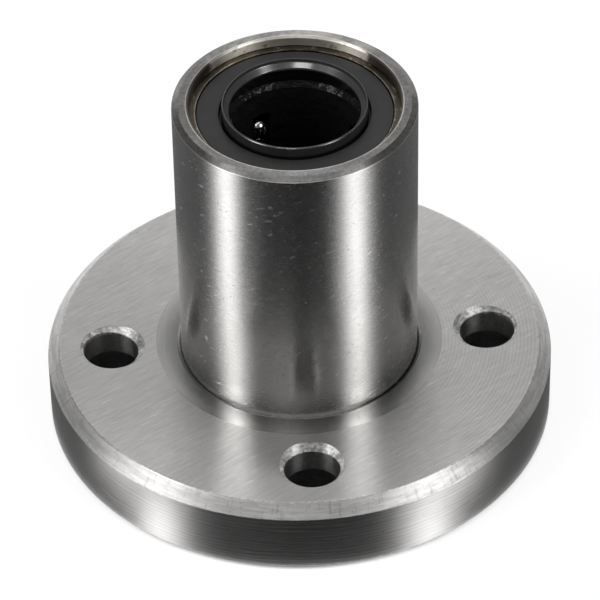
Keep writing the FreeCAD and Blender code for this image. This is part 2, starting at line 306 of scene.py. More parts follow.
def lathe_place_group():
    """Where a point lies on a turned part: radius and height in millimetres, and its direction."""
    outputs = {"Place": "vector", "Radius": "value", "Height": "value", "Around": "vector"}
    tree, _, leave = new_group("lathe_place", {}, outputs)
    here = add(tree, "TexCoord").outputs["Object"]
    place = scaled(tree, here, 1 / MM)
    parts = parts_of(tree, place)
    flat = add(tree, "CombineXYZ", {0: parts[0], 1: parts[1]}).outputs[0]
    around = add(tree, "VectorMath", {0: flat}, operation="NORMALIZE").outputs[0]
    join(tree, leave["Place"], place)
    join(tree, leave["Radius"], length(tree, flat))
    join(tree, leave["Height"], parts[2])
    join(tree, leave["Around"], around)
    return tree


def turned_lines_group():
    """Tool lines: noise that is fine across the lines and runs far around the axis."""
    inputs = {"Around": "vector", "Across": "value", "Drift": "value", "Fineness": "value"}
    tree, entry, leave = new_group("turned_lines", inputs, {"Lines": "value"})
    swing = scaled(tree, entry["Around"], entry["Drift"])
    step = calc(tree, "MULTIPLY", entry["Across"], entry["Fineness"])
    climb = add(tree, "CombineXYZ", {2: step}).outputs[0]
    spot = shifted(tree, swing, climb)
    join(tree, leave["Lines"], noise(tree, spot, scale=1.0, detail=4.0, roughness=0.75))
    return tree


def brush_strokes_group():
    """Short straight strokes: noise stretched along one direction in the XY plane."""
    inputs = {"Place": "vector", "Turn": "value", "Length": "value", "Fineness": "value"}
    tree, entry, leave = new_group("brush_strokes", inputs, {"Strokes": "value"})
    sockets = {"Vector": entry["Place"], "Angle": entry["Turn"]}
    turned = add(tree, "VectorRotate", sockets, rotation_type="Z_AXIS").outputs[0]
    parts = parts_of(tree, turned)
    along = calc(tree, "DIVIDE", parts[0], entry["Length"])
    across = calc(tree, "MULTIPLY", parts[1], entry["Fineness"])
    spot = add(tree, "CombineXYZ", {0: along, 1: across, 2: parts[2]}).outputs[0]
    join(tree, leave["Strokes"], noise(tree, spot, scale=1.0, detail=4.0, roughness=0.7))
    return tree


def specks_group():
    """Small marks: a share of the cells of a scattered pattern hold one, each of its own size."""
    inputs = {"Place": "vector", "Spacing": "value", "Size": "value", "Share": "value"}
    tree, entry, leave = new_group("specks", inputs, {"Mask": "value"})
    sockets = {"Vector": entry["Place"], "Scale": 5.0, "Detail": 2.0}
    sway = add(tree, "TexNoise", sockets).outputs["Color"]
    spot = shifted(tree, scaled(tree, sway, 0.2), entry["Place"])
    density = calc(tree, "DIVIDE", 1.0, entry["Spacing"])
    cells = add(tree, "TexVoronoi", {"Vector": spot, "Scale": density})
    draw = add(tree, "SeparateColor", {0: cells.outputs["Color"]}).outputs
    gap = calc(tree, "MULTIPLY", cells.outputs["Distance"], entry["Spacing"])
    reach = calc(tree, "MULTIPLY", entry["Size"], mix(tree, draw[1], 0.3, 1.0))
    dot = ease(tree, gap, calc(tree, "MULTIPLY", reach, 0.4), reach, 1.0, 0.0)
    chosen = calc(tree, "LESS_THAN", draw[0], entry["Share"])
    join(tree, leave["Mask"], calc(tree, "MULTIPLY", dot, chosen))
    return tree


def feed_lines_group():
    """Feed marks of a turning tool: a sine wave across the lines, which wanders a little."""
    inputs = {"Around": "vector", "Across": "value", "Pitch": "value", "Wander": "value"}
    tree, entry, leave = new_group("feed_lines", inputs, {"Lines": "value"})
    climb = add(tree, "CombineXYZ", {2: entry["Across"]}).outputs[0]
    spot = shifted(tree, scaled(tree, entry["Around"], 2.0), climb)
    drift = calc(tree, "MULTIPLY", noise(tree, spot, scale=1.3), entry["Wander"])
    turns = calc(tree, "ADD", calc(tree, "DIVIDE", entry["Across"], entry["Pitch"]), drift)
    wave = calc(tree, "SINE", calc(tree, "MULTIPLY", turns, 2 * math.pi))
    join(tree, leave["Lines"], calc(tree, "MULTIPLY_ADD", wave, 0.5, 0.5))
    return tree


def edge_group():
    """How near a point is to a turned edge at a radius and height, from one on it to zero."""
    inputs = {name: "value" for name in ("Radius", "Height", "Edge radius", "Edge height", "Width")}
    tree, entry, leave = new_group("turned_edge", inputs, {"Mask": "value"})
    across = calc(tree, "SUBTRACT", entry["Radius"], entry["Edge radius"])
    along = calc(tree, "SUBTRACT", entry["Height"], entry["Edge height"])
    gap = diagonal(tree, across, along)
    join(tree, leave["Mask"], ease(tree, gap, 0.0, entry["Width"], 1.0, 0.0))
    return tree


def bolt_place_group():
    """Distance in millimetres from the nearest bolt hole's axis, with the holes on the X and Y axes."""
    tree, entry, leave = new_group("bolt_place", {"Place": "vector"}, {"Distance": "value"})
    folded = add(tree, "VectorMath", {0: entry["Place"]}, operation="ABSOLUTE").outputs[0]
    parts = parts_of(tree, folded)
    far = calc(tree, "MAXIMUM", parts[0], parts[1])
    near = calc(tree, "MINIMUM", parts[0], parts[1])
    past = calc(tree, "SUBTRACT", far, BOLT_CIRCLE_R)
    join(tree, leave["Distance"], diagonal(tree, past, near))
    return tree


LATHE_PLACE = lathe_place_group()
TURNED_LINES = turned_lines_group()
BRUSH_STROKES = brush_strokes_group()
SPECKS = specks_group()
FEED_LINES = feed_lines_group()
EDGE = edge_group()
BOLT_PLACE = bolt_place_group()


# Materials

def new_material(name, **constants):
    """A material with one main shader, whose even values are set on its own sockets."""
    material = bpy.data.materials.new(name)
    material.use_nodes = True
    tree = material.node_tree
    shader = tree.nodes["Principled BSDF"]
    for socket, value in constants.items():
        shader.inputs[socket.replace("_", " ")].default_value = value
    return material, tree, shader


def relief(tree, shader, height, strength, depth):
    """Bump on the shader's normal, with its depth in millimetres."""
    sockets = {"Height": height, "Strength": strength, "Distance": depth * MM}
    join(tree, shader.inputs["Normal"], add(tree, "Bump", sockets).outputs[0])


def lay(tree, base, zone, layers):
    """Covers the base with each layer's value inside the zone of that name, in order."""
    for name, value in layers.items():
        base = mix(tree, zone[name], base, value)
    return base


def wear(tree, base, marks):
    """Brings the base towards each mark's value, as far as its mask and share say, in order. Besides
    wear and dirt, some marks are painted highlights and painted shade.
    """
    for mask, share, value in marks:
        base = mix(tree, product(tree, mask, share), base, value)
    return base


def turned_edges(tree, place, edges, width):
    """How near a point is to any of the turned edges."""
    nearest = 0.0
    for edge_radius, edge_height in edges:
        edge = add(tree, "Group", {
            "Radius": place["Radius"], "Height": place["Height"],
            "Edge radius": edge_radius, "Edge height": edge_height, "Width": width,
        }, node_tree=EDGE).outputs["Mask"]
        nearest = calc(tree, "MAXIMUM", nearest, edge)
    return nearest


def both_ends(radius, height):
    """An edge at the free end and the same one at the flange end."""
    return ((radius, height), (radius, BARREL_TOP - height))


def sleeve_zones(tree, place, bolt):
    """A mask for each finish of the sleeve, from the radius and height of the point.

    The small bare numbers are the soft margins of the masks, in millimetres.
    """
    radius, height = place["Radius"], place["Height"]
    above = ease(tree, height, FLANGE_TOP - 0.05, FLANGE_TOP - 0.02)
    top = product(tree, above, ease(tree, radius, BARREL_R + 0.05, BARREL_R + 0.08))
    return {
        "top": top,
        "shoulder": product(
            tree, top,
            ease(tree, radius, SHOULDER_R - 0.03, SHOULDER_R + 0.03, 1.0, 0.0),
        ),
        "barrel": product(
            tree,
            within(tree, radius, BARREL_R - 0.4, BARREL_R + 0.06, 0.02),
            within(tree, height, FLANGE_TOP - 0.18, RIM_LOW, 0.02),
        ),
        "undercut": product(
            tree,
            within(tree, radius, BARREL_R - 0.1, BARREL_R + 0.45 * UNDERCUT_W, 0.04),
            within(tree, height, FLANGE_TOP - 0.25, FLANGE_TOP - 0.04, 0.04),
        ),
        "rim": product(
            tree,
            ease(tree, radius, RIM_IN_R - 0.1, RIM_IN_R),
            ease(tree, height, RIM_LOW - 0.01, RIM_LOW + 0.03),
        ),
        "recess": product(
            tree,
            ease(tree, radius, RIM_IN_R - 0.06, RIM_IN_R - 0.02, 1.0, 0.0),
            ease(tree, height, BARREL_TOP - 2.0, BARREL_TOP - 1.9),
        ),
        "crown": product(
            tree,
            ease(tree, radius, FLANGE_R - CROWN_W - 0.01, FLANGE_R - CROWN_W + 0.03),
            within(tree, height, CROWN_LOW, FLANGE_TOP - 0.03, 0.02),
        ),
        "side": product(
            tree,
            ease(tree, radius, FLANGE_R - 0.03, FLANGE_R - 0.01),
            ease(tree, height, CROWN_LOW - 0.04, CROWN_LOW, 1.0, 0.0),
        ),
        "sink": product(
            tree,
            ease(tree, bolt, SINK_R + 0.01, SINK_R + 0.11, 1.0, 0.0),
            within(tree, height, SINK_LOW - 0.02, FLANGE_TOP - 0.03, 0.01),
        ),
        "hole": product(
            tree,
            ease(tree, bolt, BOLT_HEAD_R + 0.02, BOLT_HEAD_R + 0.05, 1.0, 0.0),
            within(tree, height, 0.02, SINK_LOW - 0.02, 0.01),
        ),
    }


def sleeve_marks(tree, place, bolt, zone):
    """Patterns that tools, wear and dirt left on the sleeve, with painted highlights on its edges and
    painted shade in the groove at the barrel's foot, each between zero and one.
    """
    spot, radius, height, around = (place[name] for name in ("Place", "Radius", "Height", "Around"))
    sides = parts_of(tree, spot)
    facing = parts_of(tree, around)

    def lines(across, **sockets):
        return use(tree, TURNED_LINES, Around=around, Across=across, **sockets)["Lines"]

    def feed(across, **sockets):
        return use(tree, FEED_LINES, Around=around, Across=across, **sockets)["Lines"]

    def strokes(**sockets):
        return use(tree, BRUSH_STROKES, Place=spot, **sockets)["Strokes"]

    def specks(where, **sockets):
        return use(tree, SPECKS, Place=where, **sockets)["Mask"]

    slant = calc(tree, "MULTIPLY_ADD", sides[0], -SCORE_SLOPE, height)
    scores = ease(tree, lines(slant, Drift=9.0, Fineness=4.5), 0.62, 0.68)
    rubs = specks(scaled(tree, spot, -1.0), Spacing=1.2, Size=0.20, Share=0.45)
    grit = noise(tree, spot, scale=4.0, roughness=0.7)
    flange_edge = turned_edges(tree, place, FLANGE_EDGES, width=0.10)
    # the recess is darker at its sides and paler at its back, by the direction each point faces
    side_darkening = ease(tree, facing[1], 0.50, 0.75, 0.42, -0.10)
    rust = calc(tree, "ADD", noise(tree, spot, scale=1.3, detail=4.0, roughness=0.7), side_darkening)
    return {
        # tools
        "ground": lines(height, Drift=14.0, Fineness=10.0),
        "turned": lines(radius, Drift=3.0, Fineness=7.0),
        "dashes": ease(tree, lines(height, Drift=22.0, Fineness=9.0), 0.58, 0.68),
        "filed": ease(tree, lines(radius, Drift=60.0, Fineness=0.8), 0.52, 0.70),
        "cut_ring": ease(tree, lines(height, Drift=5.0, Fineness=4.0), 0.35, 0.65),
        "side_feed": feed(height, Pitch=0.26, Wander=2.4),
        "face_feed": feed(radius, Pitch=0.23, Wander=1.2),
        "sink_feed": feed(bolt, Pitch=0.15, Wander=1.6),
        "strokes": strokes(Turn=-STROKE_ANGLE, Length=1.8, Fineness=5.0),
        "cuts": ease(tree, strokes(Turn=-CUT_ANGLE, Length=1.3, Fineness=4.0), 0.60, 0.68),
        # wear, and painted highlights on the flange's and the rim's edges
        "pits": specks(spot, Spacing=0.45, Size=0.08, Share=0.35),
        "bright": product(tree, zone["barrel"], calc(tree, "MAXIMUM", rubs, scores)),
        "flange_edge": flange_edge,
        "rim_edge": turned_edges(tree, place, RIM_EDGES, width=0.07),
        "nicks": product(tree, flange_edge, ease(tree, grit, 0.45, 0.6)),
        "bare_face": product(
            tree,
            ease(tree, sides[0], 5.0, 11.0),
            ease(tree, sides[1], 0.0, 5.0, 1.0, 0.3),
        ),
        # dirt, and painted shade in the groove at the barrel's foot
        "grit": grit,
        "cloud": noise(tree, spot, scale=0.35),
        "stain": ease(tree, noise(tree, spot, scale=0.9), 0.35, 0.7),
        "rust": ease(tree, rust, 0.44, 0.66),
        # painted shade: the groove at the barrel's foot is made dark, most on the right and faintly in
        # front
        "soil": calc(
            tree, "MAXIMUM",
            ease(tree, facing[0], 0.35, 0.65, 0.2, 1.0),
            ease(tree, facing[0], -0.80, -0.45, 0.6, 0.0),
        ),
    }


def sleeve_level(tree, radius, zone, mark):
    """How bright the steel is, zone by zone, and then where it is worn, with painted highlights on its
    edges and painted shade at the barrel's foot and in its groove.
    """
    turned, grit = mark["turned"], mark["grit"]
    brushed = calc(tree, "MULTIPLY_ADD", mark["cuts"], 0.12, mix(tree, mark["strokes"], 0.34, 0.66))
    bare_lines = product(tree, mark["bare_face"], mark["face_feed"])
    # painted shade: the shoulder is darker towards the barrel's foot
    foot_shade = ease(tree, radius, BARREL_R + UNDERCUT_W, SHOULDER_R, 0.24, 0.44)
    chamfer = mix(tree, mark["cut_ring"], 0.70, 0.92)
    burrs = ease(tree, grit, 0.35, 0.65, 0.42, 0.90)
    level = lay(tree, mix(tree, turned, 0.42, 0.56), zone, {
        "hole": mix(tree, grit, 0.20, 0.50),
        "top": mix(tree, bare_lines, brushed, calc(tree, "ADD", brushed, 0.08)),
        "shoulder": calc(tree, "MULTIPLY_ADD", turned, 0.10, foot_shade),
        "barrel": mix(tree, mark["ground"], 0.50, 0.78),
        "side": mix(tree, mark["side_feed"], 0.54, 0.66),
        "crown": calc(tree, "MULTIPLY_ADD", mark["filed"], -0.14, chamfer),
        "sink": calc(tree, "MULTIPLY_ADD", mark["sink_feed"], -0.08, burrs),
        "rim": product(tree, mix(tree, turned, 0.14, 0.42), mix(tree, grit, 0.25, 1.5)),
    })
    level = wear(tree, level, (
        (mark["pits"], 0.5, 0.20),
        # painted highlights: the nicked flange edges and the rim's edges are brightened
        (mark["nicks"], 0.7, 0.90),
        (mark["rim_edge"], 0.8, 0.80),
        (mark["bright"], 0.6, 0.85),
        (zone["undercut"], mark["soil"], 0.12),
    ))
    return calc(tree, "MULTIPLY", level, mix(tree, mark["cloud"], 0.9, 1.1))


def sleeve_colour(tree, radius, zone, mark):
    """Grey steel, a little warm, with stains on the rim and rust in the recess, which is also darker at
    its sides and paler at its back.
    """
    level = sleeve_level(tree, radius, zone, mark)
    steel = tint(tree, level, grey(0.0), grey(1.0, 0.012))
    pale_to_dark_brown = tint(tree, mark["rust"], STAIN_PALE, DARK_BROWN)
    brown = calc(
        tree, "MAXIMUM",
        product(tree, zone["rim"], mark["stain"], 0.3),
        product(tree, zone["recess"], 0.9),
    )
    return tint(tree, brown, steel, pale_to_dark_brown)


def sleeve_gloss(tree, zone, mark):
    """How rough the steel is, zone by zone, and then where bright marks dull it."""
    turned, grit = mark["turned"], mark["grit"]
    dashed = product(tree, zone["barrel"], mark["dashes"], 0.20)
    gloss = lay(tree, mix(tree, turned, 0.30, 0.42), {**zone, "dashed": dashed}, {
        "hole": mix(tree, grit, 0.30, 0.50),
        "top": mix(tree, mark["strokes"], 0.40, 0.29),
        "shoulder": mix(tree, turned, 0.21, 0.29),
        "barrel": mix(tree, mark["ground"], 0.19, 0.30),
        "dashed": 0.55,
        "side": mix(tree, mark["side_feed"], 0.30, 0.40),
        "crown": mix(tree, mark["filed"], 0.54, 0.68),
        "sink": mix(tree, grit, 0.40, 0.60),
        "rim": mix(tree, turned, 0.26, 0.40),
        "recess": mix(tree, grit, 0.36, 0.52),
    })
    return wear(tree, gloss, ((mark["bright"], 0.7, 0.70),))


def sleeve_ridges(tree, zone, mark):
    """Height of the tool marks, zone by zone, less the dents."""
    turned = mark["turned"]
    bare_ridges = product(tree, mark["face_feed"], mark["bare_face"], 0.2)
    ridges = lay(tree, product(tree, turned, 0.5), zone, {
        "top": calc(tree, "ADD", mark["strokes"], bare_ridges),
        "shoulder": product(tree, turned, 0.12),
        "barrel": product(tree, mark["ground"], 0.2),
        "side": product(tree, mark["side_feed"], 0.16),
        "crown": calc(tree, "MULTIPLY_ADD", mark["cut_ring"], 0.6, mark["grit"]),
        "sink": product(tree, mark["sink_feed"], 0.12),
    })
    edges = calc(tree, "MAXIMUM", mark["flange_edge"], mark["rim_edge"])
    dents = calc(tree, "MAXIMUM", mark["pits"], edges)
    return calc(tree, "MULTIPLY_ADD", dents, -0.5, ridges)


def sleeve_steel():
    """Ground barrel, turned and hand-brushed flange, bright nicked chamfer and a stained rim, with
    painted highlights on the edges and painted shade at the barrel's foot.
    """
    material, tree, shader = new_material(
        "sleeve_steel", Metallic=1.0, Anisotropic=0.85, Anisotropic_Rotation=0.25,
    )
    place = use(tree, LATHE_PLACE)
    bolt = use(tree, BOLT_PLACE, Place=place["Place"])["Distance"]
    zone = sleeve_zones(tree, place, bolt)
    mark = sleeve_marks(tree, place, bolt, zone)
    join(tree, shader.inputs["Base Color"], sleeve_colour(tree, place["Radius"], zone, mark))
    join(tree, shader.inputs["Roughness"], sleeve_gloss(tree, zone, mark))
    relief(tree, shader, sleeve_ridges(tree, zone, mark), strength=0.5, depth=0.02)
    around = add(tree, "Tangent", direction_type="RADIAL", axis="Z").outputs[0]
    join(tree, shader.inputs["Tangent"], around)
    return material


def seal_rubber():
    """Black moulded rubber, oily on the lip's crest and at its back, with a painted highlight along the
    channel's outer edge.
    """
    material, tree, shader = new_material(
        "seal_rubber", Specular_IOR_Level=0.26, Coat_IOR=3.0, Coat_Roughness=0.16,
    )
    place = use(tree, LATHE_PLACE)
    spot, radius, height = (place[name] for name in ("Place", "Radius", "Height"))
    cloud = noise(tree, spot, scale=0.8)
    dust = use(tree, SPECKS, Place=spot, Spacing=0.6, Size=0.07, Share=0.25)["Mask"]
    inside = product(
        tree,
        ease(tree, radius, LIP_OUT_R + 0.2, LIP_OUT_R + 0.25, 1.0, 0.0),
        within(tree, height, BARREL_TOP - LIP_LOW, LIP_LOW, 0.05),
    )
    lip = ease(tree, radius, LIP_BEVEL_R - 0.03, LIP_BEVEL_R + 0.03, 1.0, 0.0)
    crest = turned_edges(tree, place, both_ends(LIP_OUT_R, LIP_CREST), width=0.10)
    channel = turned_edges(tree, place, both_ends(CHANNEL_R, SEAL_FACE), width=0.06)
    at_back = ease(tree, parts_of(tree, place["Around"])[1], 0.86, 0.97, 0.1, 1.0)
    oil = calc(tree, "MAXIMUM", product(tree, lip, at_back), crest)
    level = wear(tree, mix(tree, cloud, 0.008, 0.018), (
        # painted highlight: the channel's outer edge is made pale grey
        (channel, ease(tree, cloud, 0.4, 0.6), 0.12),
        (dust, 0.2, 0.16),
        (lip, 1.0, 0.02),
        (inside, 1.0, 0.003),
    ))
    gloss = wear(tree, mix(tree, cloud, 0.30, 0.42), ((lip, 1.0, 0.45), (inside, 1.0, 0.3)))
    join(tree, shader.inputs["Base Color"], tint(tree, level, grey(0.0), grey(1.0)))
    join(tree, shader.inputs["Roughness"], gloss)
    join(tree, shader.inputs["Coat Weight"], oil)
    relief(tree, shader, noise(tree, spot, scale=14.0), strength=0.35, depth=0.01)
    return material


def cage_resin():
    """Black moulded resin, wet with oil, with a wavy flow."""
    material, tree, shader = new_material("cage_resin", Specular_IOR_Level=0.14)
    spot = use(tree, LATHE_PLACE)["Place"]
    cloud = noise(tree, spot, scale=1.4)
    level = mix(tree, cloud, 0.003, 0.006)
    join(tree, shader.inputs["Base Color"], tint(tree, level, grey(0.0), grey(1.0)))
    join(tree, shader.inputs["Roughness"], mix(tree, cloud, 0.08, 0.20))
    relief(tree, shader, noise(tree, spot, scale=1.4, detail=2.0), strength=0.8, depth=0.25)
    return material


def ring_steel():
    """Oiled spring steel, dark brown partly as painted shade, with bright worn places and a painted
    highlight on its inner edge.
    """
    material, tree, shader = new_material("ring_steel", Metallic=1.0)
    place = use(tree, LATHE_PLACE)
    spot, radius, around = (place[name] for name in ("Place", "Radius", "Around"))
    lines = use(tree, TURNED_LINES, Around=around, Across=radius, Drift=6.0, Fineness=5.0)["Lines"]
    edges = turned_edges(tree, place, both_ends(RING_IN_R, RING_FACE), width=0.10)
    # painted highlight along the ring's inner edge
    inner_edge_highlight = product(tree, edges, ease(tree, lines, 0.40, 0.55), 0.6)
    rubbed_and_edge_highlight = calc(tree, "MAXIMUM", ease(tree, lines, 0.58, 0.66), inner_edge_highlight)
    # painted shade: the oiled brown is kept dark partly to stand for the shade in the recess
    oiled_and_shaded = tint(tree, noise(tree, spot, scale=0.7), OIL_AND_SHADE_DARK, OIL_AND_SHADE_THIN)
    join(tree, shader.inputs["Base Color"], tint(tree, rubbed_and_edge_highlight, oiled_and_shaded, RING_BARE_AND_HIGHLIGHT))
    join(tree, shader.inputs["Roughness"], mix(tree, lines, 0.34, 0.54))
    relief(tree, shader, lines, strength=0.3, depth=0.01)
    return material


def ball_steel():
    """Polished bearing balls with a thin film of oil."""
    material, tree, shader = new_material("ball_steel", Metallic=1.0)
    place = use(tree, LATHE_PLACE)["Place"]
    film = noise(tree, place, scale=1.6, detail=2.0)
    join(tree, shader.inputs["Base Color"], tint(tree, film, grey(0.66, 0.02), grey(0.84, 0.02)))
    join(tree, shader.inputs["Roughness"], mix(tree, film, 0.05, 0.14))
    return material


# Pieces

def put_mesh(name, points, faces):
    """A smooth-shaded mesh in the scene."""
    mesh = bpy.data.meshes.new(name)
    mesh.from_pydata(points.reshape(-1, 3).tolist(), [], faces)
    mesh.shade_smooth()
    piece = bpy.data.objects.new(name, mesh)
    bpy.context.scene.collection.objects.link(piece)
    return piece


def turned_sheet(name, profile, sectors, closed=False):
    """A sheet of revolution: a profile's pairs of radius and height, carried round the Z axis.

    Each point is radius times cosine and sine of one of the evenly spaced angles, at its height.
    """
    radius, height = np.array(profile).T
    angle = np.linspace(0, 2 * np.pi, sectors, endpoint=False)
    points = np.stack([
        radius[:, None] * np.cos(angle),
        radius[:, None] * np.sin(angle),
        height[:, None] + 0 * angle,
    ], axis=-1)
    grid = np.arange(len(radius) * sectors).reshape(len(radius), sectors)
    rows = grid if closed else grid[:-1]
    later = np.roll(grid, -1, axis=0) if closed else grid[1:]
    turn = np.roll(rows, -1, axis=1), np.roll(later, -1, axis=1)
    faces = np.stack([rows, turn[0], turn[1], later], axis=-1).reshape(-1, 4)
    return put_mesh(name, points, faces.tolist())


def smooth_balls(name, centres, radius):
    """Spheres: each point is its ball's centre plus the radius times a direction.

    The direction's latitude runs over the rings between the poles, its longitude over the
    sectors, and a fan of triangles closes each pole.
    """
    latitude = np.linspace(-np.pi / 2, np.pi / 2, BALL_RINGS + 1)[1:-1, None]
    longitude = np.linspace(0, 2 * np.pi, BALL_SECTORS, endpoint=False)[None, :]
    rings = np.stack([
        np.cos(latitude) * np.cos(longitude),
        np.cos(latitude) * np.sin(longitude),
        np.sin(latitude) + 0 * longitude,
    ], axis=-1).reshape(-1, 3)
    unit = np.concatenate([[[0, 0, -1]], rings, [[0, 0, 1]]])
    points = centres[:, None, :] + radius * unit[None, :, :]

    grid = 1 + np.arange(rings.shape[0]).reshape(-1, BALL_SECTORS)
    after = np.roll(grid, -1, axis=1)
    south = np.zeros(BALL_SECTORS, int)
    north = np.full(BALL_SECTORS, len(unit) - 1)
    quads = np.stack([grid[:-1], after[:-1], after[1:], grid[1:]], axis=-1).reshape(-1, 4)
    fans = np.concatenate([
        np.stack([south, after[0], grid[0]], axis=-1),
        np.stack([north, grid[-1], after[-1]], axis=-1),
    ])
    start = (np.arange(len(centres)) * len(unit))[:, None, None]
    quads = (quads[None] + start).reshape(-1, 4)
    fans = (fans[None] + start).reshape(-1, 3)
    return put_mesh(name, points, quads.tolist() + fans.tolist())


def ball_sets(material):
    """A smooth set of balls in place of each circuit's faceted ones."""
    for node in sorted(name for name in frame["nodes"] if name.startswith("ball_circuit")):
        mesh = frame["nodes"][node].data
        corners = np.empty(len(mesh.vertices) * 3)
        mesh.vertices.foreach_get("co", corners)
        corners = corners.reshape(-1, BALL_CORNERS, 3)
        centres = corners.mean(axis=1)
        radius = np.linalg.norm(corners - centres[:, None], axis=-1).max()
        piece = smooth_balls(node.replace("ball_circuit", "ball_set"), centres, radius)
        piece.data.materials.append(material)
        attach(piece, "root")
        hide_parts(node)


def rounded_section(corners, cuts):
    """A closed section with each corner rounded.

    Round a corner c, with a and b the points a cut away along its two sides, the outline follows
    (1 - s)^2 a + 2 s (1 - s) c + s^2 b for s from 0 to 1, between one more point on either side.
    """
    before = np.roll(corners, 1, axis=0) - corners
    after = np.roll(corners, -1, axis=0) - corners
    before = before / np.linalg.norm(before, axis=1, keepdims=True)
    after = after / np.linalg.norm(after, axis=1, keepdims=True)
    share = np.linspace(0, 1, CURVE_STEPS)[None, :, None]
    start = corners + before * cuts
    end = corners + after * cuts
    curve = (
        (1 - share) ** 2 * start[:, None]
        + 2 * share * (1 - share) * corners[:, None]
        + share ** 2 * end[:, None]
    )
    lead = (start + before * CURVE_MARGIN)[:, None]
    tail = (end + after * CURVE_MARGIN)[:, None]
    return np.concatenate([lead, curve, tail], axis=1).reshape(-1, 2)


def moulded_seals(material):
    """A seal with rounded edges in place of each sharp one: its section carried round the axis."""
    section = np.array(SEAL_SECTION)
    outline = rounded_section(section[:, :2], section[:, 2:])
    mirrored = np.stack([outline[:, 0], BARREL_TOP - outline[:, 1]], axis=1)[::-1]
    for node, turned in (("end_seal_top", outline), ("end_seal_bottom", mirrored)):
        name = node.replace("end_seal", "lip_seal")
        piece = turned_sheet(name, turned * MM, SEAL_SECTORS, closed=True)
        piece.data.materials.append(material)
        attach(piece, "root")
        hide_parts(node)


def dress():
    """Gives the sleeve, the cage and the rings their finishes, and sets the balls and the seals."""
    finishes = {
        "flanged_sleeve": sleeve_steel(),
        "ball_cage": cage_resin(),
        "retaining_ring": ring_steel(),
    }
    for name, node in frame["nodes"].items():
        for start, material in finishes.items():
            if name.startswith(start):
                node.material_slots[0].material = material
    ball_sets(ball_steel())
    moulded_seals(seal_rubber())


# Studio

def seen_directly(tree):
    """One on rays from the camera and on those that metal and clear things reflect or pass."""
    path = add(tree, "LightPath").outputs
    seen = calc(tree, "MAXIMUM", path["Is Camera Ray"], path["Is Glossy Ray"])
    return calc(tree, "MAXIMUM", seen, path["Is Transmission Ray"])


def shown_from_above(tree, shown):
    """Shows a surface from above, and lets the view through from below."""
    clear = add(tree, "BsdfTransparent").outputs[0]
    below = add(tree, "NewGeometry").outputs["Backfacing"]
    surface = add(tree, "MixShader", {0: below, 1: shown, 2: clear}).outputs[0]
    join(tree, add(tree, "OutputMaterial").inputs["Surface"], surface)


def bare_material(name):
    """A material with an empty tree."""
    material = bpy.data.materials.new(name)
    material.use_nodes = True
    material.node_tree.nodes.clear()
    return material, material.node_tree


def white_floor():
    """A white floor round the foot of the part, which keeps a faint shadow."""
    foot = (FLANGE_R - FOOT_W - FLOOR_UNDER) * MM
    floor = turned_sheet("floor", [(FLOOR_R, FLOOR_Z), (foot, FLOOR_Z)], FLOOR_SECTORS)
    material, tree = bare_material("floor_white")
    paper = add(tree, "BsdfDiffuse", {"Color": grey(FLOOR_PAPER)}).outputs[0]
    glow = add(tree, "Emission", {"Color": grey(1.0), "Strength": 1.0}).outputs[0]
    reach = length(tree, add(tree, "TexCoord").outputs["Object"])
    clear_of_part = ease(tree, reach, foot, (FLANGE_R + FLOOR_CLEAR) * MM)
    share = product(tree, seen_directly(tree), clear_of_part, FLOOR_GLOW)
    shown = add(tree, "MixShader", {0: share, 1: paper, 2: glow}).outputs[0]
    shown_from_above(tree, shown)
    floor.data.materials.append(material)


def hole_shades():
    """Dark round spots of the table, under the bore and the bolt holes: a radius at each angle."""
    middles = np.array([(0, 0), (1, 0), (0, 1), (-1, 0), (0, -1)]) * BOLT_CIRCLE_R
    reach = np.array([END_BORE_R] + [BOLT_HEAD_R] * 4)[:, None]
    angle = np.linspace(0, 2 * np.pi, SHADE_SECTORS, endpoint=False)
    spots = np.stack([
        (middles[:, :1] + reach * np.cos(angle)) * MM,
        (middles[:, 1:] + reach * np.sin(angle)) * MM,
        FLOOR_Z + 0 * reach * angle,
    ], axis=-1)
    faces = np.arange(spots.size // 3).reshape(-1, SHADE_SECTORS)
    shades = put_mesh("hole_shades", spots, faces.tolist())
    material, tree = bare_material("hole_shade")
    shown_from_above(tree, add(tree, "BsdfDiffuse", {"Color": grey(SHADE_TONE)}).outputs[0])
    shades.data.materials.append(material)


def step_up(value, low, high):
    """Goes smoothly from zero to one while the value goes from low to high."""
    share = np.clip((value - low) / (high - low), 0, 1)
    return share ** 2 * (3 - 2 * share)


def bell(value, middle, width):
    """One in the middle, falling off smoothly to both sides."""
    return np.exp(-((value - middle) / width) ** 2)


def room_tone(bearing):
    """Brightness of the room by bearing: dark in front and greyer behind."""
    return ROOM_TONE + ROOM_GAIN * (np.abs(bearing) / 180) ** ROOM_CURVE


def strip_tone(bearing, strips):
    """Brightness of the strips by bearing: a bell curve for each."""
    return sum(peak * bell(bearing, middle, width) for middle, width, peak in strips)


def put_card(name, points, faces, tone):
    """A glowing sheet that only reflections show: the camera and the light pass through."""
    card = put_mesh(name, points, faces)
    layer = card.data.attributes.new("tone", "FLOAT", "POINT")
    layer.data.foreach_set("value", tone.ravel().astype(np.float32))
    material, tree = bare_material(name)
    shade = add(tree, "Attribute", attribute_name="tone").outputs["Fac"]
    glow = add(tree, "Emission", {"Color": grey(1.0), "Strength": shade}).outputs[0]
    output = add(tree, "OutputMaterial")
    join(tree, output.inputs["Surface"], glow)
    card.data.materials.append(material)
    card.visible_camera = False
    card.visible_diffuse = False
    card.visible_shadow = False


def grid_faces(rows, columns):
    """The four-sided faces of a grid of points."""
    grid = np.arange(rows * columns).reshape(rows, columns)
    faces = np.stack([grid[:-1, :-1], grid[:-1, 1:], grid[1:, 1:], grid[1:, :-1]], axis=-1)
    return faces.reshape(-1, 4).tolist()


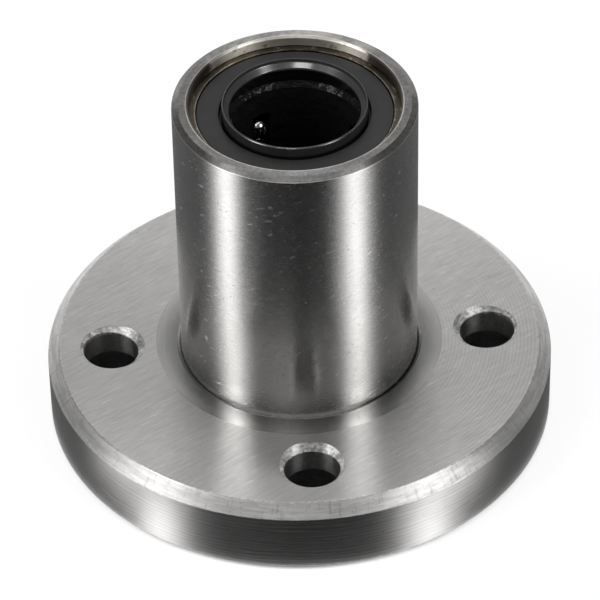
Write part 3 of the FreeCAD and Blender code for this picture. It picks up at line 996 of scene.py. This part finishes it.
def table_card():
    """A ring on the table: points at a radius and an angle, at one height.

    A wall of the part at radius w, seen from the front, mirrors the direction b where it stands at
    half that angle, and the mirrored ray meets the table at the smaller angle
    b - asin(w * sin(b / 2) / radius). The tone follows that direction, so the strips stand straight
    in the flange's side, which sees the table's inner ring, and in the barrel, which sees the rest.
    """
    flange, barrel = FLANGE_R * MM, BARREL_R * MM
    outer = flange * OUTER_START
    radius = np.concatenate([
        np.linspace(flange * INNER_RING[0], flange * INNER_RING[1], INNER_ROWS),
        outer * (CARD_R / outer) ** np.linspace(0, 1, OUTER_ROWS),
    ])[:, None]
    wall = np.where(radius < outer, flange, barrel)
    mirrored = np.radians(np.linspace(-180, 180, TABLE_COLUMNS))[None, :]
    angle = mirrored - np.arcsin(np.clip(wall * np.sin(mirrored / 2) / radius, -1, 1))
    points = np.stack([
        radius * np.sin(angle),
        -radius * np.cos(angle),
        TABLE_Z + 0 * angle,
    ], axis=-1)
    bearing = np.degrees(mirrored)
    tone = room_tone(bearing) + strip_tone(bearing, TABLE_STRIPS) + 0 * radius
    put_card("table_card", points, grid_faces(*tone.shape), tone)


def wall_card():
    """A band of a ball round the part, by bearing and elevation, open overhead.

    The strips stand up from the table, a small window shines in front, the back is a pale wall
    with a dark belt, and all of it turns white towards the top.
    """
    bearing = np.linspace(-180, 180, WALL_COLUMNS)[None, :]
    elevation = np.linspace(0, CARD_TOP, WALL_ROWS)[:, None]
    level = CARD_R * np.cos(np.radians(elevation))
    points = np.stack([
        level * np.sin(np.radians(bearing)),
        -level * np.cos(np.radians(bearing)),
        CARD_R * np.sin(np.radians(elevation)) + 0 * bearing,
    ], axis=-1)
    strip_width = np.where(elevation < STRIP_PEAK, STRIP_BELOW, STRIP_ABOVE)
    lift = (
        1 - STRIP_LOSS * step_up(elevation, *STRIP_END)
        + STRIP_LIFT * bell(elevation, STRIP_PEAK, strip_width)
    )
    strips = strip_tone(bearing, WALL_STRIPS) * lift
    window = WINDOW_TONE * bell(bearing, *WINDOW_BEARING) * bell(elevation, *WINDOW_ELEVATION)
    beside = SIDE_TONE * step_up(np.abs(bearing), *SIDE_STEP)
    front = room_tone(bearing) + strips + window + beside
    back = BACK_TONE - BELT_LOSS * bell(elevation, *BELT_ELEVATION)
    behind = step_up(np.abs(bearing), *BACK_STEP)
    overhead = step_up(elevation, *TOP_STEP)
    tone = front * (1 - behind) + back * behind
    tone = tone * (1 - overhead) + TOP_TONE * overhead
    put_card("wall_card", points, grid_faces(*tone.shape), tone)


def aim(thing, azimuth, elevation, distance, roll=0.0):
    """Stands a lamp or camera round the target, looking at it."""
    back = Vector((
        math.sin(azimuth) * math.cos(elevation),
        -math.cos(azimuth) * math.cos(elevation),
        math.sin(elevation),
    ))
    spot = Vector(CAMERA_TARGET) + back * distance
    facing = (-back).to_track_quat("-Z", "Y").to_matrix().to_4x4()
    thing.matrix_world = Matrix.Translation(spot) @ facing @ Matrix.Rotation(roll, 4, "Z")


def softbox(name, bearing, elevation, distance, size, power, mirrored):
    """An area lamp that faces the middle of the part."""
    lamp = bpy.data.lights.new(name, "AREA")
    lamp.shape = "RECTANGLE"
    lamp.size, lamp.size_y = size
    lamp.energy = power
    light = bpy.data.objects.new(name, lamp)
    light.visible_glossy = mirrored
    light.visible_camera = False
    aim(light, math.radians(bearing), math.radians(elevation), distance)
    bpy.context.scene.collection.objects.link(light)


def white_backdrop():
    """A white surround, which gives less light than it shows."""
    world = bpy.data.worlds.new("white_studio")
    world.use_nodes = True
    tree = world.node_tree
    backdrop = tree.nodes["Background"]
    backdrop.inputs["Color"].default_value = grey(1.0)
    strength = mix(tree, seen_directly(tree), BACKDROP_LIGHT, BACKDROP_SEEN)
    join(tree, backdrop.inputs["Strength"], strength)
    bpy.context.scene.world = world


def photo_camera():
    """A camera that sees the part as the photograph does."""
    lens = bpy.data.cameras.new("camera")
    lens.lens = CAMERA_LENS
    lens.sensor_width = CAMERA_SENSOR
    lens.clip_start = CAMERA_NEAR
    camera = bpy.data.objects.new("camera", lens)
    aim(camera, CAMERA_AZIMUTH, CAMERA_ELEVATION, CAMERA_DISTANCE, CAMERA_ROLL)
    bpy.context.scene.collection.objects.link(camera)
    bpy.context.scene.camera = camera
    bpy.context.scene.view_settings.view_transform = "Standard"


def studio():
    """Floor, reflected cards, lamps, backdrop and camera."""
    white_floor()
    hole_shades()
    table_card()
    wall_card()
    for name, settings in LAMPS.items():
        softbox(name, *settings)
    white_backdrop()
    photo_camera()


dress()
studio()
